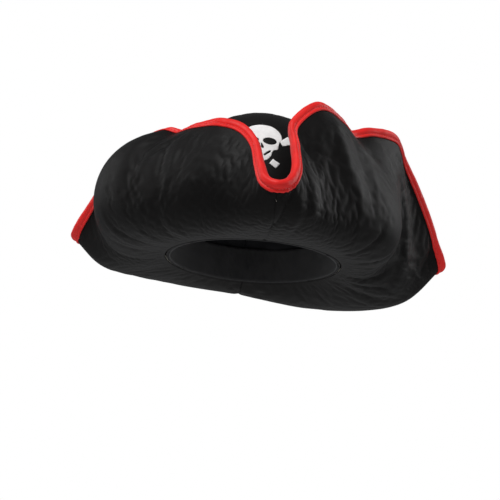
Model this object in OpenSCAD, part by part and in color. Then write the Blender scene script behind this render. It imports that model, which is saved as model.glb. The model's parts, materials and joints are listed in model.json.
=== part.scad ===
// Soft three-cornered hat with a padded, turned-up brim, a bound edge and a printed crown.
// Origin: centre of the head opening, at the seam between brim and crown.
// Front is -Y, the wearer's left is +X, up is +Z. Millimetres.

/* [Overall size] */
// Width over the two back corners
brim_span = 356; // [300:1:430]
// Height of the tallest flap above the opening seam
flap_height = 131; // [107:1:158]
// Height of the crown above the opening seam
crown_height = 134; // [112:1:162]

/* [Head opening] */
// Width of the opening, side to side
opening_width = 160; // [140:1:176]
// Length of the opening, front to back
opening_length = 194; // [170:1:214]
// Height of the sweatband
sweatband_height = 32; // [20:1:42]

/* [Cloth and padding] */
// Thickness of the foam inside the brim
foam_thickness = 3; // [1.5:0.1:4]
// Thickness of each brim cloth
cloth_thickness = 0.5; // [0.3:0.05:0.8]
// Thickness of each crown gore, cloth and its bonded foam together
gore_thickness = 1.2; // [0.8:0.1:2]
// Thickness of the crown lining
lining_thickness = 0.4; // [0.3:0.05:0.6]
// Thickness of the sweatband
sweatband_thickness = 1; // [0.6:0.1:1.6]

/* [Edge binding] */
// Depth of the binding on each face of the brim
binding_depth = 9; // [6:0.5:14]
// Thickness of the folded binding
binding_thickness = 1.2; // [0.6:0.1:2]

/* [Print and tacks] */
// Size of the printed skull against its drawn size
print_scale = 1; // [0.7:0.05:1.2]
// Height of the skull's eye line above the opening seam
print_height = 92; // [80:1:96]
// Direction of the print from straight ahead, in degrees
print_heading = -6; // [-15:1:10]
// Diameter of the thread in each tack
tack_diameter = 1.6; // [1:0.1:2.5]

/* [Hidden] */
layer_gap = 0.15;
seam_gap = 0.3;
drawn_span = 356;
drawn_rise = 131;
reach_scale = brim_span / drawn_span;
rise_scale = flap_height / drawn_rise;
opening_half_width = opening_width / 2;
opening_half_length = opening_length / 2;

// Brim stations, going round from the front by the wearer's left. Each row holds: heading on the
// opening, heading of the edge, reach of the edge, height of the edge, reach of the belly,
// height of the belly and height of the fold underneath.
front_corner = [
    [0, 0, 182, 31, 168, 8, -4],
    [8, 3.4, 174, 37, 166, 14, -4],
    [15, 5.6, 160, 53, 162, 26, -4]
];
left_flap = [
    [22, 5.8, 139, 78, 158, 44, -5],
    [29, 6.5, 122, 101, 154, 60, -5],
    [38, 19.5, 108, 124, 150, 66, -5],
    [51, 39, 94, 121, 150, 60, -5],
    [65, 61, 84, 117, 152, 60, -6],
    [80, 75, 98, 126, 143, 72, -7],
    [92, 89, 121, 129, 136, 82, -8],
    [101, 98, 136, 114, 140, 66, -11],
    [108, 105.5, 161, 89, 158, 44, -15],
    [115, 112, 190, 57, 182, 24, -18]
];
back_flap = [
    [122, 116.5, 211, 30, 190, 10, -24],
    [134, 127, 176, 56, 180, 20, -30],
    [152, 149, 134, 84, 164, 40, -29],
    [180, 180, 106, 92, 152, 52, -17],
    [208, 211, 132, 80, 158, 42, -14],
    [226, 231, 162, 54, 162, 20, -13],
    [237, 241, 186, 26, 164, 5, -10]
];
right_flap = [
    [247, 249, 159, 54, 148, 18, -10],
    [255, 258, 134, 76, 148, 48, -9],
    [265, 269, 112, 91, 162, 86, -8],
    [278, 284, 101, 99, 166, 92, -6],
    [290, 294, 94, 103, 161, 88, -6],
    [302, 302, 88, 100, 154, 74, -6],
    [313, 325, 104, 100, 150, 61, -5],
    [323, 337, 117, 99, 150, 54, -5],
    [332, 347, 126, 92, 152, 47, -5],
    [339, 353, 139, 76, 156, 38, -5],
    [346, 355.3, 159, 53, 160, 24, -4],
    [353, 356.8, 174, 37, 166, 13, -4]
];
stations = concat(front_corner, left_flap, back_flap, right_flap);
station_count = len(stations);
back_station = len(front_corner) + len(left_flap) + 3;
steps_per_station = 3;
section_steps = 9;

// Half thicknesses of the brim's layers, from its middle outwards
foam_half = foam_thickness / 2;
cloth_near = foam_half + layer_gap;
cloth_far = cloth_near + cloth_thickness;
binding_near = cloth_far + layer_gap;
binding_far = binding_near + binding_thickness;

root_clearance = cloth_far / 2;
tip_clearance = 3 * layer_gap;

// Insets of the crown's layers from the opening line
gore_outer_inset = layer_gap * 4;
gore_inner_inset = gore_outer_inset + gore_thickness;
lining_outer_inset = gore_inner_inset + layer_gap * 2;
lining_inner_inset = lining_outer_inset + lining_thickness;
sweatband_outer_inset = lining_inner_inset + layer_gap * 4;
sweatband_inner_inset = sweatband_outer_inset + sweatband_thickness;
crown_foot = -cloth_far;
sweatband_foot = crown_foot;
gore_columns = 12;
gore_rows = 12;
crown_top_angle = 89.8;
crown_swell = 0.06;
crown_taper = 0.75;
crown_rise_power = 0.95;

function wrapped(k) = ((k % station_count) + station_count) % station_count;
function turns(k) = floor(k / station_count);
function station(k) = stations[wrapped(k)] + 360 * turns(k) * [1, 1, 0, 0, 0, 0, 0];
function smooth_row(a, b, c, d, t) =
    0.5 * (2 * b + (c - a) * t + (2 * a - 5 * b + 4 * c - d) * t * t + (3 * b - a - 3 * c + d) * t * t * t);
function row_at(u) =
    let (k = floor(u))
    smooth_row(station(k - 1), station(k), station(k + 1), station(k + 2), u - k);
function heading(a) = [sin(a), -cos(a)];
function reach_of_oval(a, half_w, half_l) = 1 / sqrt(pow(sin(a) / half_w, 2) + pow(cos(a) / half_l, 2));
function out(way, reach, height) = [way.x * reach, way.y * reach, height];
function unit(v) = v / norm(v);

// A section of the brim: five guide points from the opening, round the belly, up to the edge
function guides(u) =
    let (
        q = row_at(u),
        start = heading(q[0]),
        edge = heading(q[1]),
        shoulder = 0.65 * start + 0.35 * edge,
        root = reach_of_oval(q[0], opening_half_width, opening_half_length) + root_clearance,
        belly = max(q[4] * reach_scale, root + 30),
        low = q[6] * rise_scale
    )
    [
        out(start, root, 0),
        out(start, root + 0.45 * (belly - root), low),
        out(start, belly, low),
        out(shoulder, belly, q[5] * rise_scale),
        out(edge, q[2] * reach_scale, q[3] * rise_scale)
    ];
function along(g, s) =
    let (r = 1 - s)
    g[0] * pow(r, 4) + g[1] * 4 * pow(r, 3) * s + g[2] * 6 * r * r * s * s + g[3] * 4 * r * pow(s, 3)
    + g[4] * pow(s, 4);
function slope_along(g, s) =
    let (r = 1 - s)
    4 * ((g[1] - g[0]) * pow(r, 3) + (g[2] - g[1]) * 3 * r * r * s + (g[3] - g[2]) * 3 * r * s * s
    + (g[4] - g[3]) * pow(s, 3));
nudge = 0.02;
function facing(u, s) =
    unit(cross(along(guides(u + nudge), s) - along(guides(u - nudge), s), slope_along(guides(u), s)));
function brim_point(u, s, off) = along(guides(u), s) + off * facing(u, s);
// Rows of a section: even steps up to the binding's lower edge, then one more to the brim's edge
function binding_row(u) = 1 - binding_depth / norm(slope_along(guides(u), 1));
function row_s(u, j) = j == section_steps ? 1 : binding_row(u) * j / (section_steps - 1);
function brim_grid(first, last, off) =
    let (columns = round((last - first) * steps_per_station))
    [for (i = [0 : columns])
        let (u = first + (last - first) * i / columns)
        [for (j = [0 : section_steps]) brim_point(u, row_s(u, j), off)]];

// Closed solid between two grids of points. The far grid lies on the side the faces look to.
module sheet_between(far, near) {
    n = len(far);
    m = len(far[0]);
    base = n * m;
    points = concat([for (row = far) each row], [for (row = near) each row]);
    cells = [for (i = [0 : n - 2]) for (j = [0 : m - 2]) [i * m + j, (i + 1) * m + j]];
    far_faces = [for (c = cells) each [[c[0], c[0] + 1, c[1] + 1], [c[0], c[1] + 1, c[1]]]];
    near_faces = [for (c = cells) each [
        [base + c[0], base + c[1], base + c[1] + 1],
        [base + c[0], base + c[1] + 1, base + c[0] + 1]
    ]];
    rim = concat(
        [for (j = [0 : m - 2]) [j + 1, j]],
        [for (j = [0 : m - 2]) [(n - 1) * m + j, (n - 1) * m + j + 1]],
        [for (i = [0 : n - 2]) [i * m, (i + 1) * m]],
        [for (i = [0 : n - 2]) [(i + 1) * m + m - 1, i * m + m - 1]]
    );
    rim_faces = [for (e = rim) each [[e[0], e[1], base + e[1]], [e[0], base + e[1], base + e[0]]]];
    polyhedron(points = points, faces = concat(far_faces, near_faces, rim_faces), convexity = 10);
}

// Closed ring through a list of outlines, joined each to the next and the last to the first
module ring_through(outlines, turned = []) {
    n = len(outlines);
    m = len(outlines[0]);
    faces = [for (i = [0 : n - 1]) for (k = [0 : m - 1])
        let (
            a = i * m + k,
            b = ((i + 1) % n) * m + k,
            c = ((i + 1) % n) * m + (k + 1) % m,
            d = i * m + (k + 1) % m,
            turn = len(search(k, turned)) > 0
        )
        each turn ? [[a, b, d], [b, c, d]] : [[a, b, c], [a, c, d]]];
    polyhedron(points = [for (o = outlines) each o], faces = faces, convexity = 10);
}

module brim_layer(first, last, near, far) {
    sheet_between(brim_grid(first, last, far), brim_grid(first, last, near));
}
seam_half = 0.005;
left_from = seam_half;
left_to = back_station - seam_half;
right_from = back_station + seam_half;
right_to = station_count - seam_half;

module left_brim_foam() {
    color([0.82, 0.8, 0.76]) brim_layer(left_from, left_to, -foam_half, foam_half);
}
module right_brim_foam() {
    color([0.82, 0.8, 0.76]) brim_layer(right_from, right_to, -foam_half, foam_half);
}
module left_brim_outer_cloth() {
    color([0.05, 0.05, 0.06]) brim_layer(left_from, left_to, cloth_near, cloth_far);
}
module right_brim_outer_cloth() {
    color([0.05, 0.05, 0.06]) brim_layer(right_from, right_to, cloth_near, cloth_far);
}
module left_brim_inner_cloth() {
    color([0.06, 0.06, 0.07]) brim_layer(left_from, left_to, -cloth_far, -cloth_near);
}
module right_brim_inner_cloth() {
    color([0.06, 0.06, 0.07]) brim_layer(right_from, right_to, -cloth_far, -cloth_near);
}

// Outline of the binding where it wraps the brim's edge
function binding_outline(u) =
    let (
        low = binding_row(u),
        outward = unit(slope_along(guides(u), 1)),
        clear = outward * tip_clearance,
        fold = outward * (tip_clearance + binding_thickness)
    )
    [
        brim_point(u, low, binding_near),
        brim_point(u, 1, binding_near) + clear,
        brim_point(u, 1, -binding_near) + clear,
        brim_point(u, low, -binding_near),
        brim_point(u, low, -binding_far),
        brim_point(u, 1, -binding_far),
        brim_point(u, 1, -foam_half) + fold,
        brim_point(u, 1, foam_half) + fold,
        brim_point(u, 1, binding_far),
        brim_point(u, low, binding_far)
    ];
// Strips of the ring whose facets split the other way, to lie like those of the cloth beneath
binding_turned = [1, 2, 8];
module brim_binding() {
    columns = station_count * steps_per_station;
    color([0.85, 0.07, 0.08])
        ring_through([for (i = [0 : columns - 1]) binding_outline(i / steps_per_station)], binding_turned);
}

// Crown surface: angle 0 at the opening seam, 90 at the top
function crown_reach(way, lift, inset) =
    reach_of_oval(way, opening_half_width - inset, opening_half_length - inset)
    * pow(cos(lift), crown_taper) * (1 + crown_swell * sin(2 * lift));
function crown_height_at(lift, inset) = (crown_height - inset) * pow(sin(lift), crown_rise_power);
function crown_point(way, lift, inset) =
    out(heading(way), crown_reach(way, lift, inset), crown_height_at(lift, inset));
function crown_rows(n) = [for (j = [0 : n]) crown_top_angle * j / n];
function crown_grid(middle, spread, inset, columns, rows) =
    [for (i = [0 : columns]) concat(
        [let (trim = asin(seam_gap / 2 / crown_reach(middle, 0, inset)))
            out(
                heading(middle + (spread - trim) * (2 * i / columns - 1)),
                crown_reach(middle + (spread - trim) * (2 * i / columns - 1), 0, inset),
                crown_foot
            )],
        [for (lift = crown_rows(rows))
            let (trim = asin(min(0.6, seam_gap / 2 / crown_reach(middle + spread, lift, inset))))
            crown_point(middle + (spread - trim) * (2 * i / columns - 1), lift, inset)]
    )];
module crown_gore(middle) {
    sheet_between(
        crown_grid(middle, 45, gore_outer_inset, gore_columns, gore_rows),
        crown_grid(middle, 45, gore_inner_inset, gore_columns, gore_rows)
    );
}
module crown_front_gore() {
    color([0.05, 0.05, 0.06]) crown_gore(0);
}
module crown_left_gore() {
    color([0.05, 0.05, 0.06]) crown_gore(90);
}
module crown_back_gore() {
    color([0.05, 0.05, 0.06]) crown_gore(180);
}
module crown_right_gore() {
    color([0.05, 0.05, 0.06]) crown_gore(270);
}
module lining_half(middle) {
    sheet_between(
        crown_grid(middle, 90, lining_outer_inset, 2 * gore_columns, gore_rows),
        crown_grid(middle, 90, lining_inner_inset, 2 * gore_columns, gore_rows)
    );
}
module left_lining() {
    color([0.1, 0.1, 0.11]) lining_half(90);
}
module right_lining() {
    color([0.1, 0.1, 0.11]) lining_half(270);
}

// Sweatband: one strip round the opening, its ends sewn together at the back
sweatband_columns = 72;
function sweatband_outline(way) =
    let (
        far_width = opening_half_width - sweatband_outer_inset,
        far_length = opening_half_length - sweatband_outer_inset,
        near_width = opening_half_width - sweatband_inner_inset,
        near_length = opening_half_length - sweatband_inner_inset,
        far = reach_of_oval(way, far_width, far_length),
        near = reach_of_oval(way, near_width, near_length),
        top = sweatband_foot + sweatband_height
    )
    [
        out(heading(way), near, sweatband_foot),
        out(heading(way), near, top),
        out(heading(way), far, top),
        out(heading(way), far, sweatband_foot)
    ];
module sweatband() {
    color([0.12, 0.12, 0.12])
        ring_through([
            for (i = [0 : sweatband_columns - 1]) sweatband_outline(360 * i / sweatband_columns)
        ]);
}

// Printed emblem: each shape is a thin skin lying on the front gore
skull_half_width = 18.3;
cranium_half_height = 11.3;
cranium_rise = 5.5;
eye_spacing = 8;
eye_half_width = 6.3;
eye_half_height = 3.7;
bone_width = 5.4;
bone_angle = 33;
bone_cross_drop = 14;
print_thickness = 0.35;
print_depth = 130;
print_spread = 33.75;
print_columns = 9;
print_inner_inset = gore_outer_inset - 2 * layer_gap;
print_outer_inset = print_inner_inset - print_thickness;
upper_bone_from = 21.8;
upper_bone_to = 31;
upper_bone_flare = 1.8;
lower_bone_from = 12.5;
lower_bone_to = 20;
lower_bone_flare = 0.2;
function oval(a, b) = [for (i = [0 : 31]) [a * cos(i * 11.25), b * sin(i * 11.25)]];
function mirrored(half) = concat(half, [for (i = [len(half) - 1 : -1 : 0]) [-half[i].x, half[i].y]]);
skull_side = concat(
    [for (a = [85 : -15 : -20]) [skull_half_width * cos(a), cranium_rise + cranium_half_height * sin(a)]],
    [[16.2, 0.4], [15.8, -7], [12.2, -9.6], [10.4, -15], [6, -19.8], [3, -20.8]]
);
nose_side = [[0.4, -3], [2, -4.6], [3.2, -7.4], [1.9, -8.4], [0.4, -6.8]];
mouth_side = [[3.4, -14.2], [8.9, -9.9], [9.7, -10.8], [4.4, -15.7]];
module skull_outline() {
    difference() {
        polygon(mirrored(skull_side));
        for (side = [-1, 1]) {
            translate([side * eye_spacing, -0.5])
                rotate(side * -6)
                    polygon(oval(eye_half_width, eye_half_height));
        }
        polygon(mirrored(nose_side));
        polygon(mirrored(mouth_side));
    }
}
module bone_end(turn, from, to, flare) {
    translate([0, -bone_cross_drop]) rotate(turn)
        polygon([
            [from, -bone_width / 2],
            [to, -bone_width / 2 - flare],
            [to, bone_width / 2 + flare],
            [from, bone_width / 2]
        ]);
}
module on_the_crown() {
    intersection() {
        sheet_between(
            crown_grid(print_heading, print_spread, print_outer_inset, print_columns, gore_rows),
            crown_grid(print_heading, print_spread, print_inner_inset, print_columns, gore_rows)
        );
        rotate([0, 0, print_heading]) translate([0, 0, print_height]) rotate([90, 0, 0])
            linear_extrude(height = print_depth) scale(print_scale) children();
    }
}
module skull_print() {
    color([0.95, 0.95, 0.93]) on_the_crown() skull_outline();
}
module upper_left_bone_print() {
    color([0.95, 0.95, 0.93])
        on_the_crown() bone_end(bone_angle, upper_bone_from, upper_bone_to, upper_bone_flare);
}
module lower_left_bone_print() {
    color([0.95, 0.95, 0.93])
        on_the_crown() bone_end(-bone_angle, lower_bone_from, lower_bone_to, lower_bone_flare);
}
module upper_right_bone_print() {
    color([0.95, 0.95, 0.93])
        on_the_crown() bone_end(180 - bone_angle, upper_bone_from, upper_bone_to, upper_bone_flare);
}
module lower_right_bone_print() {
    color([0.95, 0.95, 0.93])
        on_the_crown() bone_end(180 + bone_angle, lower_bone_from, lower_bone_to, lower_bone_flare);
}

// Thread tacks: each holds a flap to the crown at the same height, just below the binding. An end
// stands back from the face it meets by enough for its rim to clear that face's slope.
tack_radius = tack_diameter / 2;
tack_drop = tack_diameter * 2.5;
slope_step = 0.5;
left_tack_station = len(front_corner) + 4;
right_tack_station = back_station + 9;
function lift_at_height(z) =
    let (share = z / (crown_height - gore_outer_inset))
    asin(min(0.999, pow(share, 1 / crown_rise_power)));
function crown_at_height(way, z) = crown_point(way, lift_at_height(z), gore_outer_inset);
function flap_below_binding(u, drop) =
    let (
        upper = brim_point(u, row_s(u, section_steps - 1), -cloth_far),
        lower = brim_point(u, row_s(u, section_steps - 2), -cloth_far)
    )
    upper + unit(lower - upper) * drop;
function stand_back(run, across, along) =
    let (facing = abs(unit(run) * unit(cross(across, along))))
    (layer_gap + tack_radius * sqrt(1 - facing * facing)) / facing;
module tack(u) {
    on_flap = flap_below_binding(u, tack_drop);
    way = atan2(on_flap.x, -on_flap.y);
    on_crown = crown_at_height(way, on_flap.z);
    run = on_flap - on_crown;
    crown_across = crown_at_height(way + slope_step, on_flap.z) - on_crown;
    crown_along = crown_at_height(way, on_flap.z + slope_step) - on_crown;
    flap_across = flap_below_binding(u + slope_step / 5, tack_drop) - on_flap;
    flap_along = flap_below_binding(u, tack_drop + slope_step) - on_flap;
    from_crown = stand_back(run, crown_across, crown_along);
    from_flap = stand_back(run, flap_across, flap_along);
    translate(on_crown + unit(run) * from_crown)
        rotate([0, acos(run.z / norm(run)), atan2(run.y, run.x)])
            cylinder(d = tack_diameter, h = norm(run) - from_crown - from_flap, $fn = 24);
}
module left_tack() {
    color([0.04, 0.04, 0.04]) tack(left_tack_station);
}
module right_tack() {
    color([0.04, 0.04, 0.04]) tack(right_tack_station);
}
module back_tack() {
    color([0.04, 0.04, 0.04]) tack(back_station);
}

left_brim_foam();
right_brim_foam();
left_brim_outer_cloth();
right_brim_outer_cloth();
left_brim_inner_cloth();
right_brim_inner_cloth();
brim_binding();
crown_front_gore();
crown_left_gore();
crown_back_gore();
crown_right_gore();
left_lining();
right_lining();
sweatband();
skull_print();
upper_left_bone_print();
lower_left_bone_print();
upper_right_bone_print();
lower_right_bone_print();
left_tack();
right_tack();
back_tack();
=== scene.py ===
import json
from math import cos, pi, radians, sin

import bmesh
import bpy
import numpy as np
from mathutils import Matrix, Vector
from mathutils.bvhtree import BVHTree

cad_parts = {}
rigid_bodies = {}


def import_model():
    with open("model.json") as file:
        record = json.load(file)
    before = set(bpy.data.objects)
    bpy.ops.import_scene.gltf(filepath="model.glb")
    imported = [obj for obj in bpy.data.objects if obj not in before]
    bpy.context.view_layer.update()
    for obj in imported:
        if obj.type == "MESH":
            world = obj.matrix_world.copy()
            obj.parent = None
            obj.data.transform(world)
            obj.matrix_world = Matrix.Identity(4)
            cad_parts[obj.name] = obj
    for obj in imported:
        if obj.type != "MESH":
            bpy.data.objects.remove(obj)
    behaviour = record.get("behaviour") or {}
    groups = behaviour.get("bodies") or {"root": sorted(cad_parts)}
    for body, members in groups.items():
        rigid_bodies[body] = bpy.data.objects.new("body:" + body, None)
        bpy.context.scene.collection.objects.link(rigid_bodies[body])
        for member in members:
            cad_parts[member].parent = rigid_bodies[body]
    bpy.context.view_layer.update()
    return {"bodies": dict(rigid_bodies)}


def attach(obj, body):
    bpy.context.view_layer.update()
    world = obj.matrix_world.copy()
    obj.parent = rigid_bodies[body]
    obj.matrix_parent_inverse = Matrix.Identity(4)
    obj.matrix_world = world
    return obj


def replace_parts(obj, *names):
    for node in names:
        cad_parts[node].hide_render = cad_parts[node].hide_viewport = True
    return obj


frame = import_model()
hat = list(frame["bodies"])[0]
for loaded in bpy.context.selected_objects:
    loaded.select_set(False)


# The stand: a long lens a little below the hat and a little to its left, tipped as a head tips,
# a pale floor well below the hat, and soft lights: a big one high at the left, a weaker one at the
# right and two narrow ones behind that draw the edges of the brim.
lens_turn = radians(-5)
lens_lift = radians(-12)
lens_tilt = radians(4.5)
lens_away = 2.4
looked_at = Vector((0, 0, 0.060))
lens_back = Vector((sin(lens_turn) * cos(lens_lift), -cos(lens_turn) * cos(lens_lift), sin(lens_lift)))
level_right = Vector((cos(lens_turn), sin(lens_turn), 0))
level_up = lens_back.cross(level_right)
lens_right = level_right * cos(lens_tilt) + level_up * sin(lens_tilt)
lens_up = level_up * cos(lens_tilt) - level_right * sin(lens_tilt)
camera = bpy.data.objects.new("camera", bpy.data.cameras.new("camera"))
bpy.context.scene.collection.objects.link(camera)
camera.data.sensor_width = 36
camera.data.lens = 187.8
camera.data.clip_start = 0.05
camera.data.clip_end = 50
stood_at = looked_at + lens_back * lens_away - lens_right * 0.0074 - lens_up * 0.0497
turned = Matrix((lens_right, lens_up, lens_back)).transposed().to_4x4()
camera.matrix_world = Matrix.Translation(stood_at) @ turned
bpy.context.scene.camera = camera

bpy.ops.mesh.primitive_plane_add(size=12, location=(0, 0, -0.62))
floor = bpy.context.active_object
floor.name = "floor"
floor_paint = bpy.data.materials.new("floor_paint")
floor_paint.use_nodes = True
floor_shader = floor_paint.node_tree.nodes["Principled BSDF"]
floor_shader.inputs["Base Color"].default_value = (0.86, 0.86, 0.86, 1)
floor_shader.inputs["Roughness"].default_value = 0.9
floor.data.materials.append(floor_paint)

bpy.context.scene.view_settings.view_transform = "Standard"
room = bpy.data.worlds.new("room")
room.use_nodes = True
bpy.context.scene.world = room
room_nodes = room.node_tree.nodes
room_links = room.node_tree.links
seen_white = room_nodes["Background"]
seen_white.inputs["Color"].default_value = (1, 1, 1, 1)
seen_white.inputs["Strength"].default_value = 1.0
soft_fill = room_nodes.new("ShaderNodeBackground")
soft_fill.inputs["Color"].default_value = (0.93, 0.96, 1, 1)
soft_fill.inputs["Strength"].default_value = 0.17
ray = room_nodes.new("ShaderNodeLightPath")
either = room_nodes.new("ShaderNodeMixShader")
room_links.new(ray.outputs["Is Camera Ray"], either.inputs[0])
room_links.new(soft_fill.outputs[0], either.inputs[1])
room_links.new(seen_white.outputs[0], either.inputs[2])
room_links.new(either.outputs[0], room_nodes["World Output"].inputs["Surface"])


def soft_light(name, place, aim, width, height, watts, tint=(1, 1, 1)):
    lamp = bpy.data.lights.new(name, "AREA")
    lamp.shape = "RECTANGLE"
    lamp.size = width
    lamp.size_y = height
    lamp.energy = watts
    lamp.color = tint
    stand = bpy.data.objects.new(name, lamp)
    bpy.context.scene.collection.objects.link(stand)
    stand.location = place
    stand.rotation_mode = "QUATERNION"
    stand.rotation_quaternion = (Vector(aim) - Vector(place)).to_track_quat("-Z", "Y")


soft_light("key_light", (-0.75, -1.05, 1.75), (-0.05, -0.05, 0.08), 1.1, 0.9, 40)
soft_light("fill_light", (1.50, -1.30, 0.55), (0, 0, 0.06), 0.9, 1.2, 3)
soft_light("left_edge_light", (-1.50, 0.95, 0.70), (-0.1, 0, 0.05), 0.5, 1.2, 5)
soft_light("right_edge_light", (1.45, 0.65, 0.75), (0.12, 0, 0.06), 0.4, 1.2, 8)


# Brim pattern: the flat-cut brim after it is turned up into three flaps. Both cloths, the foam and
# the binding follow this one surface. Guide rows go round from the front by the wearer's left:
# heading on the opening and of the edge in degrees, then reach and height of the edge, reach and
# height of the belly, and height of the fold underneath, in millimetres.
opening_half_width = 80
opening_half_length = 97
root_clearance = 1.075
front_corner = [
    (0, 0, 182, 31, 168, 8, -4),
    (8, 3.4, 174, 37, 166, 14, -4),
    (15, 5.6, 160, 53, 162, 26, -4),
]
left_flap = [
    (22, 5.8, 139, 78, 158, 44, -5),
    (29, 6.5, 122, 101, 154, 60, -5),
    (38, 19.5, 108, 124, 150, 66, -5),
    (51, 39, 94, 121, 150, 60, -5),
    (65, 61, 84, 117, 152, 60, -6),
    (80, 75, 98, 126, 143, 72, -7),
    (92, 89, 121, 129, 136, 82, -8),
    (101, 98, 136, 114, 140, 66, -11),
    (108, 105.5, 161, 89, 158, 44, -15),
    (115, 112, 190, 57, 182, 24, -18),
]
back_flap = [
    (122, 116.5, 211, 30, 190, 10, -24),
    (134, 127, 176, 56, 180, 20, -30),
    (152, 149, 134, 84, 164, 40, -29),
    (180, 180, 106, 92, 152, 52, -17),
    (208, 211, 132, 80, 158, 42, -14),
    (226, 231, 162, 54, 162, 20, -13),
    (237, 241, 186, 26, 164, 5, -10),
]
right_flap = [
    (247, 249, 159, 54, 148, 18, -10),
    (255, 258, 134, 76, 148, 48, -9),
    (265, 269, 112, 91, 162, 86, -8),
    (278, 284, 101, 99, 166, 92, -6),
    (290, 294, 94, 103, 161, 88, -6),
    (302, 302, 88, 100, 154, 74, -6),
    (313, 325, 104, 100, 150, 61, -5),
    (323, 337, 117, 99, 150, 54, -5),
    (332, 347, 126, 92, 152, 47, -5),
    (339, 353, 139, 76, 156, 38, -5),
    (346, 355.3, 159, 53, 160, 24, -4),
    (353, 356.8, 174, 37, 166, 13, -4),
]
guide_rows = np.array(front_corner + left_flap + back_flap + right_flap, float)
stations = len(guide_rows)
back_seam_at = 16
steps_per_station = 12
brim_columns = stations * steps_per_station
brim_rows = 60


def guide_row(u):
    """The guide row at station u, smooth between the rows on each side of it."""
    u = np.asarray(u, float)
    k = np.floor(u).astype(int)
    t = (u - k)[:, None]
    rows = []
    for step in (-1, 0, 1, 2):
        row = guide_rows[(k + step) % stations].copy()
        row[:, :2] += 360 * ((k + step) // stations)[:, None]
        rows.append(row)
    a, b, c, d = rows
    bend = (2 * a - 5 * b + 4 * c - d) * t * t
    twist = (3 * b - a - 3 * c + d) * t**3
    return 0.5 * (2 * b + (c - a) * t + bend + twist)


def out(heading, reach, height):
    """Points at a heading in degrees, a reach from the middle and a height."""
    angle = np.radians(heading)
    return np.stack([np.sin(angle) * reach, -np.cos(angle) * reach, height + 0 * reach], -1)


def oval_reach(heading, half_width, half_length):
    angle = np.radians(heading)
    return 1 / np.sqrt((np.sin(angle) / half_width) ** 2 + (np.cos(angle) / half_length) ** 2)


def brim_surface(u, s):
    """Millimetre points of the brim at stations u and shares s of the way from opening to edge."""
    row = guide_row(u)
    root = oval_reach(row[:, 0], opening_half_width, opening_half_length) + root_clearance
    belly = np.maximum(row[:, 4], root + 30)
    low = row[:, 6]
    start = out(row[:, 0], belly, row[:, 5])
    turned_edge = out(row[:, 1], belly, row[:, 5])
    shoulder = 0.65 * start + 0.35 * turned_edge
    guides = [
        out(row[:, 0], root, 0),
        out(row[:, 0], root + 0.45 * (belly - root), low),
        out(row[:, 0], belly, low),
        shoulder,
        out(row[:, 1], row[:, 2], row[:, 3]),
    ]
    s = np.asarray(s, float)[None, :, None]
    r = 1 - s
    shares = [r**4, 4 * r**3 * s, 6 * r * r * s * s, 4 * r * s**3, s**4]
    return sum(g[:, None, :] * share for g, share in zip(guides, shares))


def normals_of(grid, closed=True):
    """Outward unit normals of a grid of points, columns first."""
    if closed:
        along = np.roll(grid, -1, 0) - np.roll(grid, 1, 0)
    else:
        along = np.gradient(grid, axis=0)
    across = np.gradient(grid, axis=1)
    n = np.cross(along, across)
    return n / np.maximum(np.linalg.norm(n, axis=2, keepdims=True), 1e-12)


column_at = np.arange(brim_columns) / steps_per_station
row_at = np.linspace(0, 1, brim_rows)
brim = brim_surface(column_at, row_at)


def grid_piece(name, grid, closed):
    """A sheet through a grid of points in metres, its UV map in metres round and across."""
    columns, rows = grid.shape[:2]
    verts = grid.reshape(-1, 3)
    spans = columns if closed else columns - 1
    i, j = np.meshgrid(np.arange(spans), np.arange(rows - 1), indexing="ij")
    ahead = (i + 1) % columns
    quads = np.stack([i * rows + j, ahead * rows + j, ahead * rows + j + 1, i * rows + j + 1], -1)
    quads = quads.reshape(-1, 4)
    mesh = bpy.data.meshes.new(name)
    mesh.from_pydata(verts.tolist(), [], quads.tolist())
    middle = rows // 2
    steps = np.linalg.norm(np.roll(grid, -1, 0) - grid, axis=2)[:, middle]
    round_at = np.concatenate([[0], np.cumsum(steps)])
    lengths = np.linalg.norm(np.diff(grid, axis=1), axis=2)
    across_at = np.concatenate([np.zeros((columns, 1)), np.cumsum(lengths, 1)], 1)
    u = np.stack([round_at[i], round_at[i + 1], round_at[i + 1], round_at[i]], -1)
    v = np.stack([across_at[i, j], across_at[ahead, j], across_at[ahead, j + 1], across_at[i, j + 1]], -1)
    uv = mesh.uv_layers.new(name="cloth")
    uv.data.foreach_set("uv", np.stack([u, v], -1).astype(np.float32).ravel())
    mesh.shade_smooth()
    mesh.update()
    piece = bpy.data.objects.new(name, mesh)
    bpy.context.scene.collection.objects.link(piece)
    return piece


def use(piece):
    """Makes a piece the one that operators act on."""
    for other in bpy.context.selected_objects:
        other.select_set(False)
    piece.select_set(True)
    bpy.context.view_layer.objects.active = piece


def finished(piece, kind, **settings):
    """Adds one modifier to a piece and applies it."""
    use(piece)
    modifier = piece.modifiers.new(kind.lower(), kind)
    for key, value in settings.items():
        setattr(modifier, key, value)
    bpy.ops.object.modifier_apply(modifier=modifier.name)


brim = brim / 1000


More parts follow.
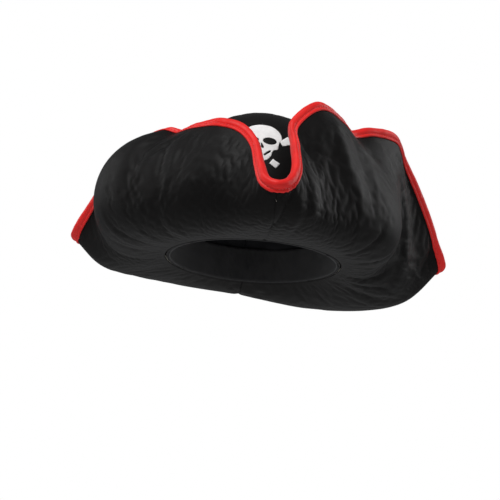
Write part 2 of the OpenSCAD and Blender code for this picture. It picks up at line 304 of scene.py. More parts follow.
# Finishes: one small class joins the nodes of a cloth's material.
class Wire:
    """One output of a shader node, which takes sums as a number does."""

    def __init__(self, finish, socket):
        self.finish = finish
        self.socket = socket

    def sum_with(self, operation, *others, first=None):
        terms = [self if first is None else first, *others]
        return self.finish.node("ShaderNodeMath", {"operation": operation}, dict(enumerate(terms)))[0]

    def __add__(self, other):
        return self.sum_with("ADD", other)

    def __radd__(self, other):
        return self.sum_with("ADD", other)

    def __sub__(self, other):
        return self.sum_with("SUBTRACT", other)

    def __rsub__(self, other):
        return self.sum_with("SUBTRACT", self, first=other)

    def __mul__(self, other):
        return self.sum_with("MULTIPLY", other)

    def __rmul__(self, other):
        return self.sum_with("MULTIPLY", other)

    def __truediv__(self, other):
        return self.sum_with("DIVIDE", other)

    def sine(self):
        return self.sum_with("SINE")

    def spread(self, low, high, to_low, to_high):
        inputs = {"Value": self, "From Min": low, "From Max": high, "To Min": to_low, "To Max": to_high}
        return self.finish.node("ShaderNodeMapRange", {"clamp": True}, inputs)["Result"]


class Finish:
    """A material under construction."""

    def __init__(self, name, plain):
        self.material = bpy.data.materials.new(name)
        self.material.use_nodes = True
        self.tree = self.material.node_tree
        self.shader = self.tree.nodes["Principled BSDF"]
        for key, value in plain.items():
            self.shader.inputs[key].default_value = value

    def node(self, kind, settings=None, inputs=None):
        made = self.tree.nodes.new(kind)
        for key, value in (settings or {}).items():
            setattr(made, key, value)
        for key, value in (inputs or {}).items():
            self.join(value, made.inputs[key])
        by_place = {i: Wire(self, o) for i, o in enumerate(made.outputs)}
        by_name = {o.name: Wire(self, o) for o in made.outputs}
        return {**by_place, **by_name}

    def join(self, value, socket):
        if isinstance(value, Wire):
            self.tree.links.new(value.socket, socket)
        else:
            socket.default_value = value

    def place(self):
        return self.node("ShaderNodeTexCoord")["Object"]

    def cloth_place(self):
        return self.node("ShaderNodeUVMap", {"uv_map": "cloth"})["UV"]

    def apart(self, vector):
        made = self.node("ShaderNodeSeparateXYZ", None, {"Vector": vector})
        return made["X"], made["Y"], made["Z"]

    def noise(self, vector, scale, detail=3, roughness=0.5):
        inputs = {"Vector": vector, "Scale": scale, "Detail": detail, "Roughness": roughness}
        return self.node("ShaderNodeTexNoise", None, inputs)["Fac"]

    def stretched(self, vector, scale):
        return self.node("ShaderNodeMapping", None, {"Vector": vector, "Scale": scale})["Vector"]

    def blend(self, share, one, other):
        made = self.node("ShaderNodeMix", {"data_type": "RGBA"}, {0: share, 6: one, 7: other})
        return made[2]

    def colour(self, wire):
        self.join(wire, self.shader.inputs["Base Color"])

    def rough(self, wire):
        self.join(wire, self.shader.inputs["Roughness"])

    def relief(self, *heights):
        """Each height is a wire, how far it stands in metres, and how strongly it shows."""
        normal = None
        for height, stands, strength in heights:
            inputs = {"Height": height, "Distance": stands, "Strength": strength}
            if normal is not None:
                inputs["Normal"] = normal
            normal = self.node("ShaderNodeBump", None, inputs)["Normal"]
        self.join(normal, self.shader.inputs["Normal"])


def black_cloth(name, dark, light, thread=0.00055):
    """Black matt-satin polyester, closely woven, with a soft grey sheen."""
    satin = {
        "Specular IOR Level": 0.10,
        "Sheen Weight": 0.014,
        "Sheen Roughness": 0.35,
        "Sheen Tint": (1, 0.97, 0.95, 1),
    }
    finish = Finish(name, satin)
    cloth = finish.cloth_place()
    spot = finish.place()
    x, y, _ = finish.apart(cloth)
    warp = (x * (2 * pi / thread)).sine()
    weft = (y * (2 * pi / thread)).sine()
    twill = ((x + y) * (2 * pi / (3 * thread))).sine()
    weave = warp * weft + 0.6 * twill
    cloudy = finish.noise(spot, 14, 3, 0.55)
    slub = finish.noise(finish.stretched(cloth, (60, 1400, 1)), 1, 2, 0.6)
    share = (cloudy * 0.7 + slub * 0.3).spread(0.3, 0.7, 0, 1)
    finish.colour(finish.blend(share, dark, light))
    finish.rough((cloudy * 0.6 + slub * 0.4).spread(0.3, 0.7, 0.42, 0.56))
    soft = finish.noise(spot, 42, 2, 0.5)
    finish.relief((weave, 0.00003, 0.5), (slub, 0.00006, 0.4), (soft, 0.0006, 0.35))
    return finish.material


def settled(piece, holds, looser, most, stiff, puff=0.0, frames=24):
    """Places of a piece's points after its cloth has settled, none further than most from its start."""
    start = np.array([v.co for v in piece.data.vertices])
    held = piece.vertex_groups.new(name="held")
    for weight in np.unique(holds):
        held.add(np.nonzero(holds == weight)[0].tolist(), float(weight), "REPLACE")
    use(piece)
    cloth = piece.modifiers.new("settle", "CLOTH")
    cloth.settings.quality = 6
    cloth.settings.mass = 0.2
    cloth.settings.tension_stiffness = 25
    cloth.settings.compression_stiffness = 25
    cloth.settings.shear_stiffness = 10
    cloth.settings.bending_stiffness = stiff
    cloth.settings.vertex_group_mass = "held"
    cloth.settings.pin_stiffness = 1
    cloth.settings.shrink_min = -looser
    cloth.settings.effector_weights.gravity = 0
    cloth.settings.use_pressure = puff > 0
    cloth.settings.uniform_pressure_force = puff
    cloth.collision_settings.use_collision = False
    cloth.point_cache.frame_start = 1
    cloth.point_cache.frame_end = frames
    scene = bpy.context.scene
    for step in range(1, frames + 1):
        scene.frame_set(step)
    posed = piece.evaluated_get(bpy.context.evaluated_depsgraph_get())
    moved = np.array([v.co for v in posed.to_mesh().vertices]) - start
    posed.to_mesh_clear()
    piece.modifiers.clear()
    scene.frame_set(1)
    far = np.linalg.norm(moved, axis=1, keepdims=True)
    return start + moved * np.minimum(1, most / np.maximum(far, 1e-9))


pattern = grid_piece("brim_pattern", brim, True)
across = np.linspace(0, 1, brim_rows)
row_holds = np.where(across < 0.03, 1.0, np.where(across > 0.93, 1.0, 0.2))
brim = settled(pattern, np.tile(row_holds, brim_columns), 0.005, 0.0045, 4.0).reshape(brim.shape)
bpy.data.objects.remove(pattern)


def closer_columns(grid, times):
    """A closed grid with more columns, smooth through the ones it has."""
    before = np.roll(grid, 1, 0)
    after = np.roll(grid, -1, 0)
    beyond = np.roll(grid, -2, 0)
    parts = []
    for k in range(times):
        t = k / times
        bend = (2 * before - 5 * grid + 4 * after - beyond) * t * t
        twist = (3 * grid - before - 3 * after + beyond) * t**3
        parts.append(0.5 * (2 * grid + (after - before) * t + bend + twist))
    return np.stack(parts, 1).reshape(-1, *grid.shape[1:])


def closer_rows(grid):
    """A grid with a row added between each two."""
    padded = np.concatenate([2 * grid[:, :1] - grid[:, 1:2], grid, 2 * grid[:, -1:] - grid[:, -2:-1]], 1)
    between = (9 * (padded[:, 1:-2] + padded[:, 2:-1]) - padded[:, :-3] - padded[:, 3:]) / 16
    fine = np.empty((grid.shape[0], 2 * grid.shape[1] - 1, 3))
    fine[:, ::2] = grid
    fine[:, 1::2] = between
    return fine


brim = closer_rows(closer_columns(brim, 2))
brim_columns, brim_rows = brim.shape[:2]
steps_per_station = brim_columns // stations


# Folds where the turned-up brim is sewn, pinched or pulled. Each is a path over the brim in
# stations and shares, a width and how far it stands out in millimetres.
def pressed(grid, path, width, stands):
    """The grid with one fold along a path, fading out towards the path's ends."""
    ends = np.array(path, float)
    knots = np.linspace(0, 1, len(ends))
    t = np.linspace(0, 1, 25)
    column = np.round(np.interp(t, knots, ends[:, 0]) * steps_per_station).astype(int) % brim_columns
    row = np.round(np.interp(t, knots, ends[:, 1]) * (brim_rows - 1)).astype(int)
    line = grid[column, row]
    reach = 3 * width / 1000
    low, high = line.min(axis=0) - reach, line.max(axis=0) + reach
    near = np.nonzero(((grid > low) & (grid < high)).all(axis=2))
    away = np.linalg.norm(grid[near][:, None] - line[None], axis=2) * 1000
    fade = np.sin(pi * np.clip(t[away.argmin(axis=1)], 0.05, 0.95)) ** 0.6
    share = near[1] / (brim_rows - 1)
    fade = fade * np.clip((1 - share) / 0.07, 0, 1) * np.clip(share / 0.06, 0, 1)
    push = np.zeros(grid.shape[:2])
    push[near] = stands / 1000 * fade * np.exp(-((away.min(axis=1) / width) ** 2))
    return grid + normals_of(grid) * push[:, :, None]


front_seam_folds = [
    ([(0.85, 0.90), (0.45, 0.72), (0.12, 0.50), (0.05, 0.30)], 3.6, -2.4),
    ([(1.50, 0.86), (1.15, 0.66), (0.85, 0.44)], 5.5, 1.6),
    ([(0.20, 0.86), (0.02, 0.66), (-0.20, 0.42)], 6.5, 1.2),
    ([(1.35, 0.56), (1.10, 0.36), (0.95, 0.16)], 4.0, -1.2),
    ([(0.62, 0.54), (0.50, 0.34), (0.42, 0.14)], 3.4, -1.0),
    ([(-0.55, 0.50), (-0.50, 0.30), (-0.46, 0.12)], 4.2, -0.9),
]
right_flap_folds = [
    ([(25.45, 0.90), (25.60, 0.80), (25.80, 0.68)], 3.4, -2.0),
    ([(25.70, 0.93), (25.35, 0.84), (24.80, 0.73)], 4.0, -1.7),
    ([(25.85, 0.88), (26.10, 0.75), (26.15, 0.62)], 4.6, 1.5),
    ([(25.30, 0.90), (25.10, 0.80), (24.90, 0.64)], 5.0, 1.2),
    ([(27.00, 0.71), (27.45, 0.64)], 3.2, 1.0),
    ([(26.75, 0.92), (26.25, 0.80), (25.60, 0.62)], 20.0, -3.0),
    ([(28.60, 0.90), (28.10, 0.76), (27.60, 0.60)], 16.0, 1.8),
]
left_flap_folds = [
    ([(5.90, 0.93), (6.90, 0.92), (7.60, 0.88)], 3.0, -1.5),
    ([(5.80, 0.90), (6.60, 0.87), (7.20, 0.82)], 3.4, 1.1),
    ([(5.75, 0.92), (6.30, 0.85), (6.80, 0.76)], 3.6, -1.3),
    ([(5.35, 0.95), (5.05, 0.86), (4.95, 0.74), (5.20, 0.58)], 7.0, 2.4),
    ([(5.80, 0.92), (5.65, 0.78), (5.75, 0.58)], 9.0, -2.4),
    ([(4.80, 0.94), (4.10, 0.84), (2.70, 0.74), (1.80, 0.60)], 8.0, 1.7),
    ([(3.70, 0.94), (3.20, 0.80), (2.70, 0.58)], 7.5, -1.6),
    ([(3.00, 0.92), (2.30, 0.76), (1.90, 0.54)], 6.0, 1.3),
    ([(9.00, 0.94), (9.70, 0.865), (10.45, 0.79), (10.90, 0.66), (11.30, 0.50)], 8.0, 3.4),
    ([(10.00, 0.92), (10.90, 0.84), (11.70, 0.72), (12.10, 0.52)], 14.0, -3.0),
]
under_folds = []
for k, start in enumerate((5.5, 6.2, 6.9, 7.5, 8.2, 8.9, 9.5, 10.1, 10.7, 11.3, 12.0)):
    lean = 0.35 + 0.12 * sin(2.3 * k)
    low, high = 0.10 + 0.03 * sin(1.7 * k), 0.50 + 0.09 * sin(2.9 * k + 1)
    path = [(start, low), (start + lean, (low + high) / 2), (start + 2.2 * lean, high)]
    under_folds.append((path, 3.6 + 0.7 * sin(1.3 * k), (-1.5, 0.9)[k % 2]))
for k, start in enumerate((21.4, 22.2, 22.9, 23.6, 24.3, 25.2, 26.2, 27.1)):
    lean = -0.25 - 0.15 * sin(1.9 * k)
    low, high = 0.10 + 0.03 * sin(2.1 * k), 0.46 + 0.08 * sin(2.4 * k)
    path = [(start, low), (start + lean, (low + high) / 2), (start + 2 * lean, high)]
    under_folds.append((path, 4.2 + 0.8 * sin(1.1 * k), (-1.2, 0.8)[k % 2]))
for fold in front_seam_folds + right_flap_folds + left_flap_folds + under_folds:
    brim = pressed(brim, *fold)

# Seams between the halves, at the front and the back: the cloths dip where they are stitched.
round_step = np.linalg.norm(np.roll(brim, -1, 0) - brim, axis=2)
seam_dips = np.zeros((brim_columns, brim_rows))
for seam_column in (0, back_seam_at * steps_per_station):
    for step in range(-8, 9):
        column = (seam_column + step) % brim_columns
        away = np.abs(step) * round_step[seam_column]
        seam_dips[column] += 0.0008 * np.exp(-((away / 0.0016) ** 2))


def brim_layer(name, first, last, middle, thick, finish, every=1):
    """One layer of half the brim, from one seam to the other, as a closed solid."""
    columns = np.arange(first * steps_per_station, last * steps_per_station + 1, every) % brim_columns
    dip = seam_dips * np.sign(middle)
    grid = (brim + normals_of(brim) * (middle - dip)[:, :, None])[columns][:, ::every]
    piece = grid_piece(name, grid, False)
    finished(piece, "SOLIDIFY", thickness=thick, offset=0)
    piece.data.materials.append(finish)
    return piece


outer_finish = black_cloth("brim_outer_polyester", (0.0036, 0.0033, 0.0032, 1), (0.0066, 0.0060, 0.0059, 1))
inner_finish = black_cloth("brim_inner_polyester", (0.0042, 0.0039, 0.0038, 1), (0.0072, 0.0066, 0.0064, 1))
foam = Finish("soft_foam", {"Specular IOR Level": 0.2})
cells = foam.noise(foam.place(), 1800, 2, 0.7)
aged = foam.noise(foam.place(), 30, 3, 0.5)
foam.colour(foam.blend(aged.spread(0.3, 0.7, 0, 1), (0.66, 0.62, 0.52, 1), (0.78, 0.74, 0.64, 1)))
foam.rough(aged.spread(0.3, 0.7, 0.85, 0.95))
foam.relief((cells, 0.0004, 0.8))
for side, first, last, flat, outer_area, inner_area in (
    ("left", 0, back_seam_at, (0.21, 0.44), 0.073, 0.069),
    ("right", back_seam_at, stations, (0.19, 0.42), 0.062, 0.058),
):
    piece = brim_layer(f"{side}_outer_cloth", first, last, 0.0019, 0.0005, outer_finish)
    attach(piece, hat)
    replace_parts(piece, f"{side}_brim_outer_cloth")
    piece = brim_layer(f"{side}_inner_cloth", first, last, -0.0019, 0.0005, inner_finish, 2)
    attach(piece, hat)
    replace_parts(piece, f"{side}_brim_inner_cloth")
    piece = brim_layer(f"{side}_foam", first, last, 0, 0.0026, foam.material, 2)
    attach(piece, hat)
    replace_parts(piece, f"{side}_brim_foam")


# Binding: one red strip folded over the brim's edge all the way round, its raw edges turned under,
# padded by them into a soft roll, and sewn down through all the layers a third of the way up from
# its lower edge. Its ends overlap at the back.
stitch_pitch = 0.0032
stitch_line = 0.0058


edge = closer_columns(brim[:, -26:], 2)
edge_out = closer_columns(normals_of(brim)[:, -26:], 2)
edge_out /= np.linalg.norm(edge_out, axis=2, keepdims=True)
edge_columns = len(edge)
edge_down = np.linalg.norm(np.diff(edge, axis=1), axis=2)
edge_down = np.concatenate([np.cumsum(edge_down[:, ::-1], 1)[:, ::-1], np.zeros((edge_columns, 1))], 1)
edge_away = edge[:, -1] - edge[:, -2]
edge_away /= np.linalg.norm(edge_away, axis=1, keepdims=True)
edge_step = np.linalg.norm(np.roll(edge[:, -3], -1, 0) - edge[:, -3], axis=1)
edge_at = np.concatenate([[0], np.cumsum(edge_step)])
edge_length = edge_at[-1]


def down_the_edge(distance):
    """Points and outward normals of every column at a distance in metres down from the edge."""
    j = (edge_down > distance).sum(axis=1) - 1
    column = np.arange(edge_columns)
    span = edge_down[column, j] - edge_down[column, j + 1]
    share = ((edge_down[column, j] - distance) / np.maximum(span, 1e-9))[:, None]
    place = edge[column, j] * (1 - share) + edge[column, j + 1] * share
    facing = edge_out[column, j] * (1 - share) + edge_out[column, j + 1] * share
    return place, facing


roll = [
    (8.9, 2.25), (8.9, 2.75), (8.5, 3.2), (7.8, 3.5), (7.0, 3.45), (6.3, 3.05), (5.8, 2.7), (5.2, 3.1),
    (4.4, 3.7), (3.4, 4.0), (2.3, 4.1), (1.2, 4.0), (0.2, 3.7),
]
stitches = round(edge_length / stitch_pitch)
beat = np.abs(((edge_at[:-1] / edge_length * stitches) % 1) - 0.5) * 2
sewn = np.exp(-(((beat - 1) / 0.35) ** 2))
rumple = np.zeros(edge_columns)
for waves, size, shift in ((37, 0.13, 0.4), (61, 0.11, 1.9), (97, 0.08, 4.0), (149, 0.06, 2.7)):
    rumple += size * np.sin(waves * 2 * pi * edge_at[:-1] / edge_length + shift)
join = np.abs(np.arange(edge_columns) - back_seam_at * steps_per_station * 2)
overlap = 0.7 / (1 + np.exp(np.minimum((join - 7.5) * 2.5, 40)))
outline = []
for face in (1, -1):
    rows = []
    for down, stands in roll:
        place, facing = down_the_edge(down / 1000)
        near_line = np.exp(-(((down - stitch_line * 1000) / 0.8) ** 2))
        puffed = max(0.0, stands - 2.7)
        height = stands + rumple * (0.25 + puffed * 0.35) + overlap * min(1, puffed * 2)
        height = height - 0.45 * near_line * sewn
        rows.append(place + facing * (face * height / 1000)[:, None])
    outline.append(rows)
tip_place, tip_facing = down_the_edge(0.0)
tip = []
for stands, away in ((3.2, 0.9), (1.9, 1.6), (0.6, 1.9), (-0.6, 1.9), (-1.9, 1.6), (-3.2, 0.9)):
    tip.append(tip_place + tip_facing * stands / 1000 + edge_away * (away + rumple[:, None] * 0.5) / 1000)
hollow = []
for stands, away in ((-2.25, 0.4), (2.25, 0.4)):
    hollow.append(tip_place + tip_facing * stands / 1000 + edge_away * away / 1000)
rows = outline[0] + tip + outline[1][::-1] + hollow
rows.append(rows[0])
binding = grid_piece("red_binding", np.stack(rows, 1), True)
use(binding)
bpy.ops.object.mode_set(mode="EDIT")
bpy.ops.mesh.select_all(action="SELECT")
bpy.ops.mesh.remove_doubles(threshold=0.00001)
bpy.ops.mesh.normals_make_consistent(inside=False)
bpy.ops.object.mode_set(mode="OBJECT")

satin = {"Specular IOR Level": 0.25, "Sheen Weight": 0.03, "Sheen Roughness": 0.4}
finish = Finish("red_bias_cloth", satin)
cloth = finish.cloth_place()
x, y, _ = finish.apart(cloth)
ribs = ((x + y) * (2 * pi / 0.0009)).sine()
worn = finish.noise(finish.place(), 60, 3, 0.55)
streak = finish.noise(finish.stretched(cloth, (110, 900, 1)), 1, 2, 0.6)
faded = (worn * 0.6 + streak * 0.4).spread(0.3, 0.7, 0, 1)
finish.colour(finish.blend(faded, (0.70, 0.012, 0.011, 1), (0.90, 0.022, 0.018, 1)))
finish.rough(worn.spread(0.3, 0.7, 0.40, 0.55))
dents = finish.noise(finish.place(), 180, 2, 0.5)
finish.relief((ribs, 0.00003, 0.4), (streak, 0.0001, 0.35), (dents, 0.0003, 0.25))
binding.data.materials.append(finish.material)
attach(binding, hat)
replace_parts(binding, "brim_binding")


def beads(name, places, along, outward, length, thick):
    """Many small stitches as one piece: each is a short six-sided thread laid along a seam."""
    shape = [(-0.5, 0.15), (-0.38, 0.75), (-0.12, 1.0), (0.12, 1.0), (0.38, 0.75), (0.5, 0.15)]
    turn = np.arange(6) * pi / 3
    half = thick / 2
    points = np.array(
        [(a * length, r * cos(t) * half, r * sin(t) * half) for a, r in shape for t in turn]
    )
    sideways = np.cross(outward, along)
    sideways /= np.linalg.norm(sideways, axis=1, keepdims=True)
    axes = np.stack([along, sideways, np.cross(along, sideways)], 1)
    verts = places[:, None, :] + np.einsum("pk,nkc->npc", points, axes)
    faces = []
    for ring in range(len(shape) - 1):
        for k in range(6):
            a, b = ring * 6 + k, ring * 6 + (k + 1) % 6
            faces.append((a, b, b + 6, a + 6))
    last = (len(shape) - 1) * 6
    ends = [tuple(range(5, -1, -1)), tuple(range(last, last + 6))]
    count = len(points)
    every = [tuple(n * count + v for v in face) for n in range(len(places)) for face in faces + ends]
    mesh = bpy.data.meshes.new(name)
    mesh.from_pydata(verts.reshape(-1, 3).tolist(), [], every)
    mesh.update()
    piece = bpy.data.objects.new(name, mesh)
    bpy.context.scene.collection.objects.link(piece)
    use(piece)
    bpy.ops.object.mode_set(mode="EDIT")
    bpy.ops.mesh.select_all(action="SELECT")
    bpy.ops.mesh.normals_make_consistent(inside=False)
    bpy.ops.object.mode_set(mode="OBJECT")
    piece.data.shade_smooth()
    return piece


def spread_along(path, facing, pitch):
    """Even places along a path of points, with the way along and the outward way at each."""
    steps = np.linalg.norm(np.diff(path, axis=0), axis=1)
    at = np.concatenate([[0], np.cumsum(steps)])
    count = max(2, round(at[-1] / pitch))
    wanted = (np.arange(count) + 0.5) * at[-1] / count
    places = np.stack([np.interp(wanted, at, path[:, k]) for k in range(3)], 1)
    ahead = np.stack([np.interp(wanted + 0.0008, at, path[:, k]) for k in range(3)], 1)
    behind = np.stack([np.interp(wanted - 0.0008, at, path[:, k]) for k in range(3)], 1)
    along = ahead - behind
    along /= np.maximum(np.linalg.norm(along, axis=1, keepdims=True), 1e-9)
    out_ways = np.stack([np.interp(wanted, at, facing[:, k]) for k in range(3)], 1)
    out_ways /= np.linalg.norm(out_ways, axis=1, keepdims=True)
    return places, along, out_ways


finish = Finish("red_thread", {"Specular IOR Level": 0.45, "Sheen Weight": 0.3})
x, y, z = finish.apart(finish.place())
ply = ((x + y + z) * (2 * pi / 0.0005)).sine()
shade = finish.noise(finish.place(), 300, 2, 0.5)
finish.colour(finish.blend(shade.spread(0.3, 0.7, 0, 1), (0.60, 0.02, 0.02, 1), (0.80, 0.04, 0.035, 1)))
finish.rough(shade.spread(0.3, 0.7, 0.45, 0.6))
finish.relief((ply, 0.00004, 0.5))
red_thread = finish.material
line, line_out = down_the_edge(stitch_line)
for face, word in ((1, "outer"), (-1, "inner")):
    path = line + line_out * (face * 0.0028)
    path = np.concatenate([path, path[:1]])
    facing = np.concatenate([line_out, line_out[:1]]) * face
    piece = beads(f"binding_{word}_stitches", *spread_along(path, facing, stitch_pitch), 0.0025, 0.0006)
    piece.data.materials.append(red_thread)
    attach(piece, hat)


# Crown: four gores of the same black cloth bonded to thin foam, sewn into a dome. The seams run
# from the opening to the top at 45 degrees to the front, and the foam swells between them.
crown_height = 133.4
crown_half_width = 79.4
crown_half_length = 96.4
crown_columns = 160
crown_rows = 44
lift = np.linspace(0, 90, crown_rows)
bearing = np.arange(crown_columns) * 360 / crown_columns - 45
rise = np.radians(lift)
reach = oval_reach(bearing, crown_half_width, crown_half_length)[:, None]
reach = reach * (np.maximum(np.cos(rise), 0) ** 0.75 * (1 + 0.06 * np.sin(2 * rise)))[None]
height = crown_height * np.sin(rise) ** 0.95
dome = np.stack(
    [
        np.sin(np.radians(bearing))[:, None] * reach,
        -np.cos(np.radians(bearing))[:, None] * reach,
        np.broadcast_to(height, reach.shape),
    ],
    -1,
)
foot = dome[:, :1].copy()
foot[:, :, 2] = -2.15
dome = np.concatenate([foot, dome], 1) / 1000
crown_rows += 1

pattern = grid_piece("crown_pattern", dome[:, :-1], True)
seam_gap = np.abs((np.arange(crown_columns) + 20) % 40 - 20)
seam_holds = np.where(seam_gap == 0, 0.75, np.where(seam_gap == 1, 0.3, 0.12))
holds = np.repeat(seam_holds[:, None], crown_rows - 1, 1)
holds[:, :3] = 1.0
holds[:, -2:] = 0.8
puffed = settled(pattern, holds.ravel(), 0.010, 0.004, 0.4, puff=0.6)
puffed = puffed.reshape(crown_columns, crown_rows - 1, 3)
bpy.data.objects.remove(pattern)
top = puffed[:, -1].mean(axis=0) + (0, 0, 0.0003)
dome = np.concatenate([puffed, np.broadcast_to(top, (crown_columns, 1, 3))], 1)
dome_out = normals_of(dome)
dome_out[:, -1] = (0, 0, 1)
foot_reach = np.linalg.norm(dome[:, :1] - dome[:, :1].mean(axis=0), axis=2).T
groove = np.exp(-((seam_gap * foot_reach / 0.09 / 1.1) ** 2))
dome = dome - dome_out * (groove.T * 0.0011)[:, :, None]


def dome_part(name, surface, first, last, inset, thick, finish):
    """Part of a dome between two columns, inset from it, as a closed solid."""
    columns = np.arange(first, last + 1) % crown_columns
    grid = (surface - dome_out * inset)[columns]
    piece = grid_piece(name, grid, False)
    use(piece)
    bpy.ops.object.mode_set(mode="EDIT")
    bpy.ops.mesh.select_all(action="SELECT")
    bpy.ops.mesh.remove_doubles(threshold=0.00001)
    bpy.ops.object.mode_set(mode="OBJECT")
    finished(piece, "SOLIDIFY", thickness=thick, offset=-1, use_even_offset=False)
    piece.data.materials.append(finish)
    return piece


crown_finish = black_cloth("crown_polyester", (0.0036, 0.0033, 0.0032, 1), (0.0066, 0.0060, 0.0059, 1))
for k, word in enumerate(("front", "left", "back", "right")):
    piece = dome_part(f"{word}_gore", dome, k * 40, k * 40 + 40, 0, 0.0012, crown_finish)
    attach(piece, hat)
    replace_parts(piece, f"crown_{word}_gore")


# Print: a white skull over crossed bones, printed in thick ink on the front gore and turned a
# little to the wearer's right. The drawing is laid on the cloth from straight in front.
def smooth_loop(points, steps=6):
    """A closed line through a few points, smoothed."""
    p = np.array(points, float)
    before, after, beyond = np.roll(p, 1, 0), np.roll(p, -1, 0), np.roll(p, -2, 0)
    parts = []
    for k in range(steps):
        t = k / steps
        bend = (2 * before - 5 * p + 4 * after - beyond) * t * t
        twist = (3 * p - before - 3 * after + beyond) * t**3
        parts.append(0.5 * (2 * p + (after - before) * t + bend + twist))
    return np.stack(parts, 1).reshape(-1, 2)


def both_sides(half):
    return half + [(-x, y) for x, y in reversed(half)]


print_heading = radians(-6)
print_height = 92
print_out = np.array((sin(print_heading), -cos(print_heading), 0))
print_side = np.array((cos(print_heading), sin(print_heading), 0))
crown_tree = BVHTree.FromPolygons(
    [tuple(v) for v in dome.reshape(-1, 3)],
    [
        (a * crown_rows + b, (a + 1) % crown_columns * crown_rows + b,
         (a + 1) % crown_columns * crown_rows + b + 1, a * crown_rows + b + 1)
        for a in range(crown_columns) for b in range(crown_rows - 1)
    ],
)


def printed(name, loops, finish):
    """A flat drawing of closed loops in millimetres, laid on the crown as a thin skin of ink."""
    curve = bpy.data.curves.new(name, "CURVE")
    curve.dimensions = "2D"
    curve.fill_mode = "FRONT"
    for loop in loops:
        spline = curve.splines.new("POLY")
        spline.points.add(len(loop) - 1)
        spline.use_cyclic_u = True
        for point, (px, py) in zip(spline.points, loop):
            point.co = (px, py, 0, 1)
    piece = bpy.data.objects.new(name, curve)
    bpy.context.scene.collection.objects.link(piece)
    use(piece)
    bpy.ops.object.convert(target="MESH")
    piece = bpy.context.active_object
    sheet = bmesh.new()
    sheet.from_mesh(piece.data)
    bmesh.ops.remove_doubles(sheet, verts=sheet.verts, dist=0.001)
    for way in ((1, 0, 0), (0, 1, 0)):
        for cut in np.arange(-40, 41, 1.6):
            whole = sheet.verts[:] + sheet.edges[:] + sheet.faces[:]
            bmesh.ops.bisect_plane(sheet, geom=whole, plane_co=Vector(way) * float(cut), plane_no=way)
    for v in sheet.verts:
        from_front = print_side * (v.co.x / 1000) + print_out * 0.15
        from_front = from_front + np.array((0, 0, (print_height + v.co.y) / 1000))
        hit, facing, _, _ = crown_tree.ray_cast(Vector(from_front), Vector(-print_out))
        if facing.dot(Vector(print_out)) < 0:
            facing = -facing
        v.co = hit + facing * 0.00042
    bmesh.ops.recalc_face_normals(sheet, faces=sheet.faces)
    sheet.to_mesh(piece.data)
    sheet.free()
    ahead = sum(p.normal.dot(Vector(print_out)) for p in piece.data.polygons)
    if ahead < 0:
        piece.data.flip_normals()
    finished(piece, "SOLIDIFY", thickness=0.00036, offset=-1, use_even_offset=False)
    piece.data.materials.append(finish)
    piece.data.shade_smooth()
    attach(piece, hat)
    return piece


def bone_end(turn, start, end, spread_by):
    """One end of a bone, crossing behind the skull below it."""
    width = 2.7
    corners = [(start, -width), (end, -width - spread_by), (end + 0.3, 0)]
    corners += [(end, width + spread_by), (start, width)]
    c, s = cos(radians(turn)), sin(radians(turn))
    return np.array([(x * c - y * s, x * s + y * c - 14) for x, y in corners])


finish = Finish("white_ink", {"Specular IOR Level": 0.3})
spot = finish.place()
specks = finish.noise(spot, 900, 3, 0.6)
grime = finish.noise(spot, 130, 3, 0.6)
dulled = (specks * 0.3 + grime * 0.7).spread(0.35, 0.65, 0, 1)
finish.colour(finish.blend(dulled, (0.80, 0.79, 0.78, 1), (0.95, 0.95, 0.94, 1)))
finish.rough(grime.spread(0.3, 0.7, 0.45, 0.7))
finish.relief((specks, 0.00005, 0.5), (grime, 0.0001, 0.3))
white_ink = finish.material
eye = [(6.3 * cos(a), 3.7 * sin(a)) for a in np.linspace(0, 2 * pi, 28, endpoint=False)]
skull = smooth_loop(
    both_sides(
        [
            (2.5, 16.9), (8.5, 15.6), (13.6, 12.2), (17.2, 7.6), (18.4, 2.4), (16.6, -1.3), (16.0, -4.6),
            (15.6, -8.4), (12.2, -9.6), (10.8, -12.0), (10.2, -15.4), (7.4, -19.2), (3.2, -21.0),
        ]
    )
)
eyes = []
for side in (1, -1):
    c, n = cos(radians(-7 * side)), sin(radians(-7 * side))
    eyes.append(np.array([(side * 8 + x * c - y * n, -0.5 + x * n + y * c) for x, y in eye]))
nose_half = [(0.5, -2.8), (2.0, -4.6), (3.3, -7.4), (2.0, -8.5), (0.5, -6.8)]
nose = [smooth_loop([(side * x, y) for x, y in nose_half], 4) for side in (1, -1)]
mouth_half = [(3.0, -14.6), (8.6, -9.9), (9.9, -10.5), (9.2, -12.2), (4.6, -16.0)]
mouth = [np.array([(side * x, y) for x, y in mouth_half]) for side in (1, -1)]
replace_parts(printed("skull_in_white", [skull, *eyes, *nose, *mouth], white_ink), "skull_print")
for word, turn, start, end, spread_by in (
    ("upper_left", 33, 21.8, 31, 1.8),
    ("lower_left", -33, 12.5, 20, 0.2),
    ("upper_right", 147, 21.8, 31, 1.8),
    ("lower_right", 213, 12.5, 20, 0.2),
):
    drawn = printed(f"{word}_bone_in_white", [bone_end(turn, start, end, spread_by)], white_ink)
    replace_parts(drawn, f"{word}_bone_print")


# Lining: two halves of thin black polyester, sewn together from front to back over the top and
# hanging loosely inside the crown.
lining_finish = black_cloth("lining_polyester", (0.009, 0.009, 0.010, 1), (0.016, 0.016, 0.018, 1), 0.0004)
loose = np.zeros((crown_columns, crown_rows))
for waves, size, shift in ((9, 0.45, 0.3), (14, 0.35, 2.0), (23, 0.25, 4.4)):
    climb = 3 * np.linspace(0, 1, crown_rows)[None] ** 2
    loose += size * np.sin(waves * np.radians(bearing)[:, None] + shift + climb)
loose = (loose + 1.05) / 1000 * np.sin(np.linspace(0, pi, crown_rows))[None] ** 0.5
hanging = dome - dome_out * np.maximum(loose, 0)[:, :, None]
for word, first in (("left", 20), ("right", 100)):
    piece = dome_part(f"{word}_lining_half", hanging, first, first + 80, 0.0016, 0.0004, lining_finish)
    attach(piece, hat)
    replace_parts(piece, f"{word}_lining")


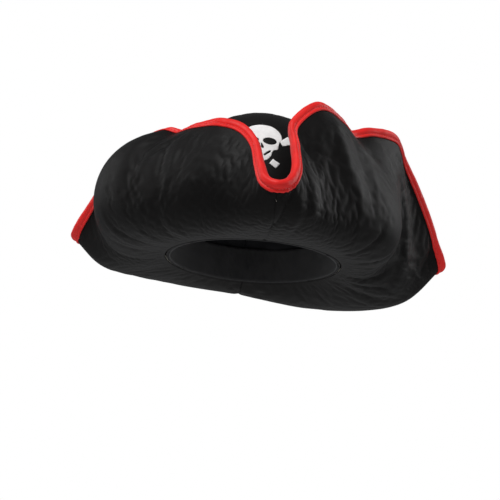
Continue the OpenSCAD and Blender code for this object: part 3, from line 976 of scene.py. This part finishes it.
# Sweatband: a ribbed black tape sewn round the inside of the opening, its ends lapped at the back.
band_columns = 240
band_rows = np.linspace(-2.0, 29.6, 15)
band_bearing = np.arange(band_columns) * 360 / band_columns
swell = 0.25 * np.sin(np.linspace(0, pi, 15)) ** 2
wave = 0.15 * np.sin(11 * np.radians(band_bearing)) + 0.1 * np.sin(17 * np.radians(band_bearing) + 1)
lap = 0.55 / (1 + np.exp((np.abs(band_bearing - 180) - 4) * 3))
band_grid = []
for high, out_by in zip(band_rows, swell):
    r = oval_reach(band_bearing, 76.9, 93.9) - 0.5 - out_by - wave * (high + 2) / 32 - lap
    band_grid.append(out(band_bearing, r, high))
band_grid = np.stack(band_grid, 1) / 1000
band = grid_piece("head_sweatband", band_grid, True)
finished(band, "SOLIDIFY", thickness=0.0009, offset=0)
finish = Finish("ribbed_tape", {"Specular IOR Level": 0.3, "Sheen Weight": 0.1})
x, y, _ = finish.apart(finish.cloth_place())
ribs = (x * (2 * pi / 0.0013)).sine()
edges = (y * (2 * pi / 0.0009)).sine()
worn = finish.noise(finish.place(), 45, 3, 0.6)
finish.colour(finish.blend(worn.spread(0.3, 0.7, 0, 1), (0.012, 0.012, 0.013, 1), (0.028, 0.027, 0.028, 1)))
finish.rough(worn.spread(0.3, 0.7, 0.6, 0.8))
finish.relief((ribs, 0.00025, 0.6), (edges, 0.00005, 0.4))
band.data.materials.append(finish.material)
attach(band, hat)
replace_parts(band, "sweatband")


# Thread tacks: three short bars of black thread that hold the flaps up against the crown, sewn
# through the brim just below the binding and into the crown at the same height.
finish = Finish("black_thread", {"Specular IOR Level": 0.35, "Sheen Weight": 0.1})
x, y, z = finish.apart(finish.place())
ply = ((x + y + z) * (2 * pi / 0.0006)).sine()
fuzz = finish.noise(finish.place(), 400, 2, 0.6)
finish.colour(finish.blend(fuzz.spread(0.3, 0.7, 0, 1), (0.006, 0.006, 0.006, 1), (0.014, 0.013, 0.013, 1)))
finish.rough(fuzz.spread(0.3, 0.7, 0.55, 0.7))
finish.relief((ply, 0.00008, 0.6))
tack_below, tack_facing = down_the_edge(0.0130)
for word, station in (("left", 7), ("right", 25), ("back", 16)):
    column = station * steps_per_station * 2
    on_flap = tack_below[column] - tack_facing[column] * 0.00215
    inward = Vector((-on_flap[0], -on_flap[1], 0)).normalized()
    hit, _, _, _ = crown_tree.ray_cast(Vector(on_flap) + inward * 0.002, inward)
    start, end = np.array(hit), on_flap
    ahead = (end - start) / np.linalg.norm(end - start)
    aside = np.cross(ahead, (0, 0, 1))
    aside /= np.linalg.norm(aside)
    above = np.cross(aside, ahead)
    rings = 34
    rows = []
    for ring in range(rings):
        t = ring / (rings - 1)
        knot = np.exp(-((t / 0.07) ** 2)) + np.exp(-(((1 - t) / 0.07) ** 2))
        angles = np.arange(24) * 2 * pi / 24
        radius = 0.00066 * (1 + 0.16 * np.cos(3 * angles - 16 * t)) * (1 + 0.9 * knot)
        middle = start + (end - start) * t - np.array((0, 0, 0.0004 * sin(pi * t)))
        ring_points = np.cos(angles)[:, None] * aside + np.sin(angles)[:, None] * above
        rows.append(middle + ring_points * radius[:, None])
    thread = grid_piece(f"{word}_thread_tack", np.stack(rows, 1), True)
    use(thread)
    bpy.ops.object.mode_set(mode="EDIT")
    bpy.ops.mesh.select_all(action="SELECT")
    bpy.ops.mesh.fill_holes(sides=0)
    bpy.ops.mesh.normals_make_consistent(inside=False)
    bpy.ops.object.mode_set(mode="OBJECT")
    thread.data.materials.append(finish.material)
    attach(thread, hat)
    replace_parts(thread, f"{word}_tack")
